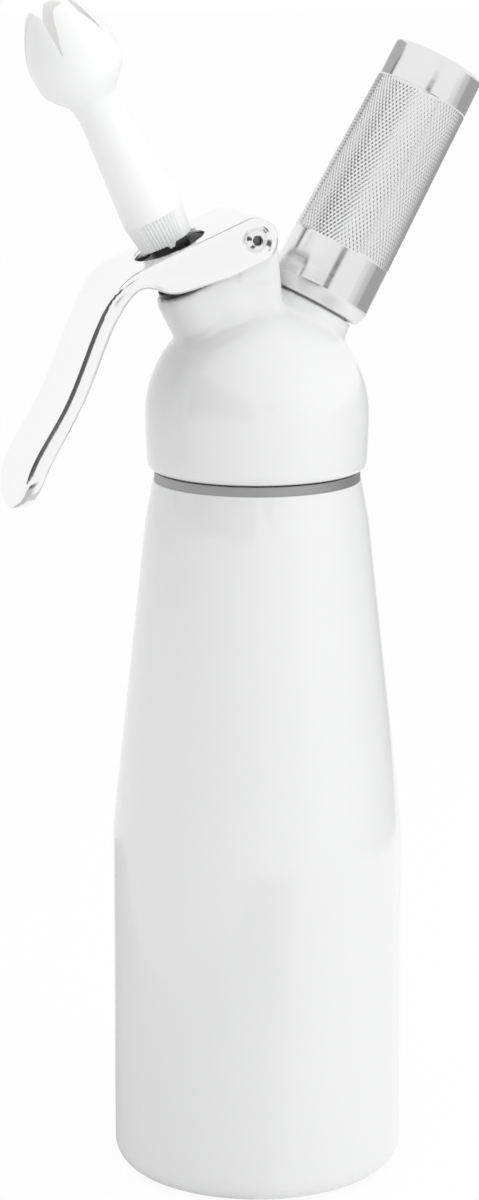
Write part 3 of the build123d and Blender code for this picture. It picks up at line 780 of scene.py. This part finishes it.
# %% [markdown]
# ## Tulip nozzle
#
# The nozzle is moulded in one piece: a ribbed collar to grip, a tapering stem, and a tulip whose
# petals part the cream into a rosette. It is a turned form with two exceptions, so it is built as a
# grid round the axis: every column stops at its own height, which cuts the V between two petals,
# and the collar's radius swells and sinks from column to column. Three smooth lobes interrupt the
# ribs, and four small tabs reach down from the collar's foot to the adapter.

# %% Nozzle sizes, in millimetres
tip_foot_radius = 7.3
tip_collar_radius = 8.5
tip_collar_height = 9.0
tip_neck_height = 39.3
tip_neck_radius = 6.05
tip_wall = 1.5
cup_radius = 11.9
cup_height = 31.2
cup_outline = ((0.0, 0.0), (0.15, 0.15), (0.25, 0.61), (0.33, 0.90), (0.45, 1.00), (0.61, 0.97),
               (0.74, 0.76), (0.89, 0.37), (1.00, 0.02))
stem_bore = 4.3
adapter_hole = 5.68
adapter_top = 8.05
petals = 5
notch_depth = 11.6
first_notch = radians(29.8)
lobes = 3
first_lobe = radians(-44.2)
lobe_half_width = radians(24.0)
lobe_blend = radians(5.0)
tabs = 4
first_tab = radians(-96.7)
tab_half_width = radians(8.0)
tab_blend = radians(4.0)
foot_rise = 1.0
rib_depth = 0.6
rib_groove = 0.12
rib_shape = 1.4
ribs_round = 50
rib_top = 9.0
rib_fade = 0.5


# %% Nozzle outline
def smooth_through(knots, share):
    """Height at a place of a smooth curve through knots, each a place and a height."""
    count = len(knots)
    slopes = []
    for index in range(count):
        low, high = knots[max(index - 1, 0)], knots[min(index + 1, count - 1)]
        slopes.append((high[1] - low[1]) / (high[0] - low[0]))
    for index in range(count - 1):
        (x0, y0), (x1, y1) = knots[index], knots[index + 1]
        if share <= x1 or index == count - 2:
            width = x1 - x0
            t = (share - x0) / width
            first = (1 + 2 * t) * (1 - t) ** 2 * y0 + t * (1 - t) ** 2 * width * slopes[index]
            second = t * t * (3 - 2 * t) * y1 + t * t * (t - 1) * width * slopes[index + 1]
            return first + second


def cup_swell(share):
    """Radius of the tulip at a share of its height."""
    return tip_neck_radius + (cup_radius - tip_neck_radius) * smooth_through(cup_outline, share)


def petal_edge(angle):
    """Share of the cup's height where the wall ends at an angle round the axis."""
    turn = ((angle - first_notch) * petals / (2 * pi)) % 1.0
    return 1 - notch_depth / cup_height * abs(2 * turn - 1) ** 4


def window(angle, count, first, half_width, blend):
    """One inside evenly spaced windows round the axis, nought between, with blended sides."""
    period = 2 * pi / count
    away = abs((angle - first + period / 2) % period - period / 2)
    return min(1.0, max(0.0, (half_width - away) / blend + 0.5))


def collar_foot(angle):
    """Height where the collar's wall starts: small tabs reach down to the adapter."""
    return foot_rise * (1 - window(angle, tabs, first_tab, tab_half_width, tab_blend))


def collar_radius(angle, height):
    """Radius of the collar at an angle and a height."""
    plain = tip_foot_radius + (tip_collar_radius - tip_foot_radius) * height / tip_collar_height
    rib = abs(cos(angle * ribs_round / 2)) ** rib_shape
    fade = min(1.0, max(0.0, (rib_top - height) / rib_fade))
    smooth = window(angle, lobes, first_lobe, lobe_half_width, lobe_blend)
    return plain - (1 - smooth) * fade * (rib_groove + rib_depth * (1 - rib))


print("tulip mouth radius", round(cup_swell(1.0), 2))


# %% Nozzle mesh
def make_nozzle():
    """Nozzle from the collar's foot up the outside, over the petals and down the inside."""
    columns = 600
    collar_rows = 18
    stem_rows = 10
    cup_rows = 40
    build = bmesh.new()
    laid = scaled(nozzle_frame)
    rings = []

    def add(radius_at, height_at):
        rings.append(ring(build, laid, radius_at, height_at, columns))

    for row in range(collar_rows + 1):
        share = row / collar_rows

        def level(angle):
            foot = collar_foot(angle)
            return foot + (tip_collar_height - foot) * share

        add(lambda a: collar_radius(a, level(a)), level)
    for row in range(1, stem_rows + 1):
        share = row / stem_rows
        radius = tip_collar_radius + (tip_neck_radius - tip_collar_radius) * share
        height = tip_collar_height + (tip_neck_height - tip_collar_height) * share
        add(lambda a: radius, lambda a: height)
    for row in range(1, cup_rows + 1):
        share = row / cup_rows
        add(lambda a: cup_swell(share * petal_edge(a)),
            lambda a: tip_neck_height + cup_height * share * petal_edge(a))
    inner_start = len(rings)
    for row in range(cup_rows, -1, -1):
        share = row / cup_rows
        thin = tip_wall * (1 - 0.5 * share)
        add(lambda a: max(cup_swell(share * petal_edge(a)) - thin, 0.2),
            lambda a: tip_neck_height + cup_height * share * petal_edge(a) - 0.15 * share)
    add(lambda a: stem_bore, lambda a: adapter_top)
    add(lambda a: adapter_hole, lambda a: adapter_top)
    add(lambda a: adapter_hole, collar_foot)
    join_rings(build, rings)
    build.faces.index_update()
    upright_again = nozzle_frame.inverted()
    for face in build.faces:
        height = (upright_again @ face.calc_center_median()).z / MM
        face.material_index = 1 if height < rib_top else 0
        # The petals' inner side takes the lighter copy: painted light.
        if face.index >= inner_start * columns and height > tip_neck_height:
            face.material_index = 2
    return mesh_object("tulip_nozzle", build, [plastic, grip_plastic, lit_petal_plastic], 40)


nozzle_piece = make_nozzle()
dress(nozzle_piece, "tip", "white_plastic", "decorator_tip")

# %% [markdown]
# ## Charger sleeve
#
# The sleeve that holds the gas charger is turned from aluminium bar, with a smooth band at each end
# and a diamond knurl between them for the fingers. Its foot is a blunt cone with a paler, rougher
# finish. A knurl is thousands of equal teeth, so one pyramid is made and Geometry Nodes sets it on
# the points of a grid that is rolled round the sleeve. Every other row is shifted by half a tooth,
# which is what makes the pattern a diamond.

# %% Sleeve sizes, in millimetres
holder_foot_radius = 14.4
holder_top_radius = 12.8
holder_length = 73.8
knurl_start = 16.3
knurl_end = 63.3
knurl_depth = 0.22
knurl_columns = 73
knurl_rows = 47
tooth_tip = 0.12
tooth_overlap = 1.02
holder_bore = 9.4
holder_mouth = 10.38
mouth_depth = 8.2
holder_ceiling = 68.4
foot_cone = 3.6
foot_band = 3.9


def holder_radius(height):
    """Radius of the sleeve's slightly tapered outside at a height."""
    return holder_foot_radius + (holder_top_radius - holder_foot_radius) * height / holder_length


# %% Sleeve body
sleeve_corners = [
    (holder_mouth, 0, 0.3),
    (13.0, 0, 1.0),
    (holder_radius(foot_cone), foot_cone, 3.4),
    (holder_radius(knurl_start), knurl_start, 0.1),
    (holder_radius(knurl_start) - knurl_depth, knurl_start + 0.3),
    (holder_radius(knurl_end) - knurl_depth, knurl_end - 0.3),
    (holder_radius(knurl_end), knurl_end, 0.1),
    (holder_top_radius, holder_length, 1.2),
    (0, holder_length),
    (0, holder_ceiling),
    (holder_bore, holder_ceiling),
    (holder_bore, mouth_depth),
    (holder_mouth, mouth_depth),
]
sleeve_piece = lathe("charger_sleeve", rounded(sleeve_corners), scaled(charger_frame), satin)
sleeve_piece.data.materials.append(satin_foot)
sleeve_upright = charger_frame.inverted()
for face in sleeve_piece.data.polygons:
    face.material_index = 1 if (sleeve_upright @ face.center).z < foot_band * MM else 0
dress(sleeve_piece, "holder", "satin_aluminium", "charger_holder")


# %% Knurl tree
def knurl_tree(finish):
    """Teeth on a grid rolled round a taper, every other row shifted by half a tooth."""
    lengths = ("Foot Radius", "Top Radius", "Start", "Length", "Depth")
    sizes = dict.fromkeys(lengths, "NodeSocketFloat")
    sizes |= dict.fromkeys(("Columns", "Rows"), "NodeSocketInt")
    tree, graph, size = new_tree("diamond_knurl", sizes)
    number = graph.node("GeometryNodeInputIndex")
    row = (number / size["Columns"]).math("FLOOR", number / size["Columns"])
    column = number - row * size["Columns"]
    shift = row.math("MODULO", row, 2.0) * 0.5
    angle = (column + shift) / size["Columns"] * (2 * pi)
    share = (row + 0.5) / size["Rows"]
    radius = size["Foot Radius"] + (size["Top Radius"] - size["Foot Radius"]) * share
    outward_x = angle.math("COSINE", angle)
    outward_y = angle.math("SINE", angle)
    outward = graph.node("ShaderNodeCombineXYZ", None, {"X": outward_x, "Y": outward_y})
    height = size["Start"] + size["Length"] * share
    place = graph.node(
        "ShaderNodeCombineXYZ",
        None,
        {"X": outward_x * radius, "Y": outward_y * radius, "Z": height},
    )
    points = graph.node(
        "GeometryNodePoints", None, {"Count": size["Columns"] * size["Rows"], "Position": place})
    tooth = graph.node(
        "GeometryNodeMeshCone",
        {"fill_type": "NGON"},
        {"Vertices": 4, "Side Segments": 1, "Fill Segments": 1, "Radius Top": tooth_tip,
         "Radius Bottom": 1.0, "Depth": 1.0},
    )
    turned = graph.node(
        "FunctionNodeAxesToRotation",
        {"primary_axis": "Z", "secondary_axis": "Y"},
        {"Primary Axis": outward, "Secondary Axis": (0, 0, 1)},
    )
    half_across = size["Foot Radius"] * (tooth_overlap * pi) / size["Columns"]
    half_along = size["Length"] / size["Rows"]
    scale = graph.node(
        "ShaderNodeCombineXYZ", None, {"X": half_across, "Y": half_along, "Z": size["Depth"]})
    teeth = graph.node(
        "GeometryNodeInstanceOnPoints",
        None,
        {"Points": points, "Instance": tooth, "Rotation": turned, "Scale": scale},
    )
    close_tree(graph, teeth, finish)
    return tree


knurl_values = {
    "Foot Radius": holder_radius(knurl_start) - knurl_depth,
    "Top Radius": holder_radius(knurl_end) - knurl_depth,
    "Start": knurl_start + 0.5,
    "Length": knurl_end - knurl_start - 1.0,
    "Columns": knurl_columns,
    "Rows": knurl_rows,
    "Depth": knurl_depth,
}
knurl_piece = grow("sleeve_knurl", knurl_tree(satin), knurl_values, scaled(charger_frame))
dress(knurl_piece, "holder", "satin_aluminium")

# %% [markdown]
# ## Studio
#
# A white object on a white ground is lit so that its shape comes from soft greys, not from bright
# spots. The world fills from all round, one large panel on the right makes that side a little
# brighter, and a weaker one hangs overhead. To rays that the camera, a mirror or a window sends
# out, the world is plain white, so the ground looks white and metal has something pale to show.

# %% World
world = bpy.data.worlds.new("studio")
bpy.context.scene.world = world
world.use_nodes = True
world.node_tree.nodes.clear()
sky = Graph(world.node_tree)
fill_strength = 0.83
strength = seen_plainly(sky) * (1 - fill_strength) + fill_strength
background = sky.node("ShaderNodeBackground", None, {"Color": shade(1.0), "Strength": strength})
sky.node("ShaderNodeOutputWorld", None, {"Surface": background})
print("world fill", fill_strength)


# %% Panels
def panel(name, place, aim, width, height, power):
    """Soft rectangular lamp that faces a point, sizes in metres."""
    lamp = bpy.data.lights.new(name, "AREA")
    lamp.shape = "RECTANGLE"
    lamp.size = width
    lamp.size_y = height
    lamp.energy = power
    stand = bpy.data.objects.new(name, lamp)
    bpy.context.scene.collection.objects.link(stand)
    stand.location = place
    stand.rotation_euler = (Vector(aim) - Vector(place)).to_track_quat("-Z", "Y").to_euler()
    stand.visible_glossy = False


middle = (0, 0, 0.16)
panel("right_panel", (0.675, -0.80, 0.4), middle, width=0.7, height=1.0, power=3.2)
panel("top_panel", (0.0, -0.1, 1.1), middle, width=0.7, height=0.7, power=1.2)
print("two panels")

# %% [markdown]
# Polished metal in an all-white room has no edges. Studios stand dark cards just outside the view,
# and each one draws a line where the metal bends towards it. These cards do the same for the view
# of the camera below. Only mirror rays can see them, so they take no light away, and a few stand
# inside the view, where a real card would show: a tall one stands left of the lever, three greys in
# steps stand on the right, one hangs behind the sleeve, two thin ones draw the lines along it, and
# two lie on the floor for the end of the handle.


# %% Cards
def card(name, strength, corners):
    """Flat card through four corners in metres, seen only in reflections."""
    mesh = bpy.data.meshes.new(name)
    mesh.from_pydata(corners, [], [(0, 1, 2, 3)])
    finish, graph, _ = start_finish(name)
    glow = graph.node("ShaderNodeEmission", None, {"Color": shade(1.0), "Strength": strength})
    graph.node("ShaderNodeOutputMaterial", None, {"Surface": glow})
    mesh.materials.append(finish)
    piece = bpy.data.objects.new(name, mesh)
    bpy.context.scene.collection.objects.link(piece)
    piece.visible_camera = False
    piece.visible_diffuse = False
    piece.visible_transmission = False
    piece.visible_shadow = False


card("lever_card", 0.1, [
    (-0.30, -0.75, 0.215), (-0.30, 0.16, 0.215), (-0.30, 0.16, 0.40), (-0.30, -0.75, 0.45)])
card("sleeve_card", 0.5, [
    (0.065, 0.08, 0.318), (0.065, 0.08, 0.345), (-0.045, 0.08, 0.41), (-0.085, 0.08, 0.32)])
card("left_line", 0.0, [
    (-0.0958, 0.079, 0.3066), (-0.122, 0.079, 0.3238), (-0.0714, 0.079, 0.4095),
    (-0.046, 0.079, 0.391)])
card("right_line", 0.0, [
    (-0.325, -1.2, 0.508), (-0.105, -1.2, 0.376), (-0.01, -1.2, 0.552), (-0.225, -1.2, 0.678)])
right_x, right_top = 0.40, 0.24
right_steps = ((-0.42, -0.25, 0.85), (-0.25, -0.11, 0.65), (-0.11, 0.45, 0.42))
for number, (start, end, strength) in enumerate(right_steps):
    card(f"right_card_{number}", strength, [
        (right_x, start, 0.0), (right_x, end, 0.0), (right_x, end, right_top),
        (right_x, start, right_top)])
card("tip_strip", 0.1, [
    (-0.14, -0.36, 0.001), (0.06, -0.36, 0.001), (0.0, -0.20, 0.001), (-0.16, -0.20, 0.001)])
card("tip_card", 0.55, [
    (-0.20, -0.20, 0.001), (0.0, -0.20, 0.001), (-0.045, 0.35, 0.001), (-0.20, 0.35, 0.001)])
print("nine cards")

# %% [markdown]
# The floor is a pale sheet. To the camera most of it is plain white light of its own, and a small
# share is lit like any surface, so that a faint shadow keeps the bottle standing on something.

# %% Floor
floor_mesh = bpy.data.meshes.new("floor")
reach = 6.0
floor_corners = [(-reach, -reach, 0), (reach, -reach, 0), (reach, reach, 0), (-reach, reach, 0)]
floor_mesh.from_pydata(floor_corners, [], [(0, 1, 2, 3)])
floor = bpy.data.objects.new("floor", floor_mesh)
bpy.context.scene.collection.objects.link(floor)
floor.location.z = -0.0002
floor_finish, ground, _ = start_finish("pale_floor")
lit = ground.node("ShaderNodeBsdfDiffuse", None, {"Color": shade(0.97)})
glow = ground.node("ShaderNodeEmission", None, {"Color": shade(1.0), "Strength": 1.0})
white_share = 0.93
share = seen_plainly(ground) * white_share
sheet = ground.node("ShaderNodeMixShader", None, {0: share, 1: lit, 2: glow})
ground.node("ShaderNodeOutputMaterial", None, {"Surface": sheet})
floor_mesh.materials.append(floor_finish)
print("floor", reach, "m")

# %% [markdown]
# ## Camera
#
# The dispenser is looked at from a little to the left of its side and a little above, from about a
# metre away, so that the nozzle, the lever and the sleeve all stand clear of each other.

# %% Camera
camera_data = bpy.data.cameras.new("camera")
camera = bpy.data.objects.new("camera", camera_data)
bpy.context.scene.collection.objects.link(camera)
bpy.context.scene.camera = camera
looks_down = 12.27
stands_left = 20.0
camera.location = (-0.3264, -0.8967, 0.3681)
camera.rotation_euler = (radians(90 - looks_down), 0, radians(-stands_left))
camera_data.lens = 107.0
camera_data.sensor_width = 36.0
camera_data.shift_x = -0.01475
camera_data.clip_start = 0.01
bpy.context.scene.view_settings.view_transform = "Standard"
print("camera at", tuple(round(part, 3) for part in camera.location))
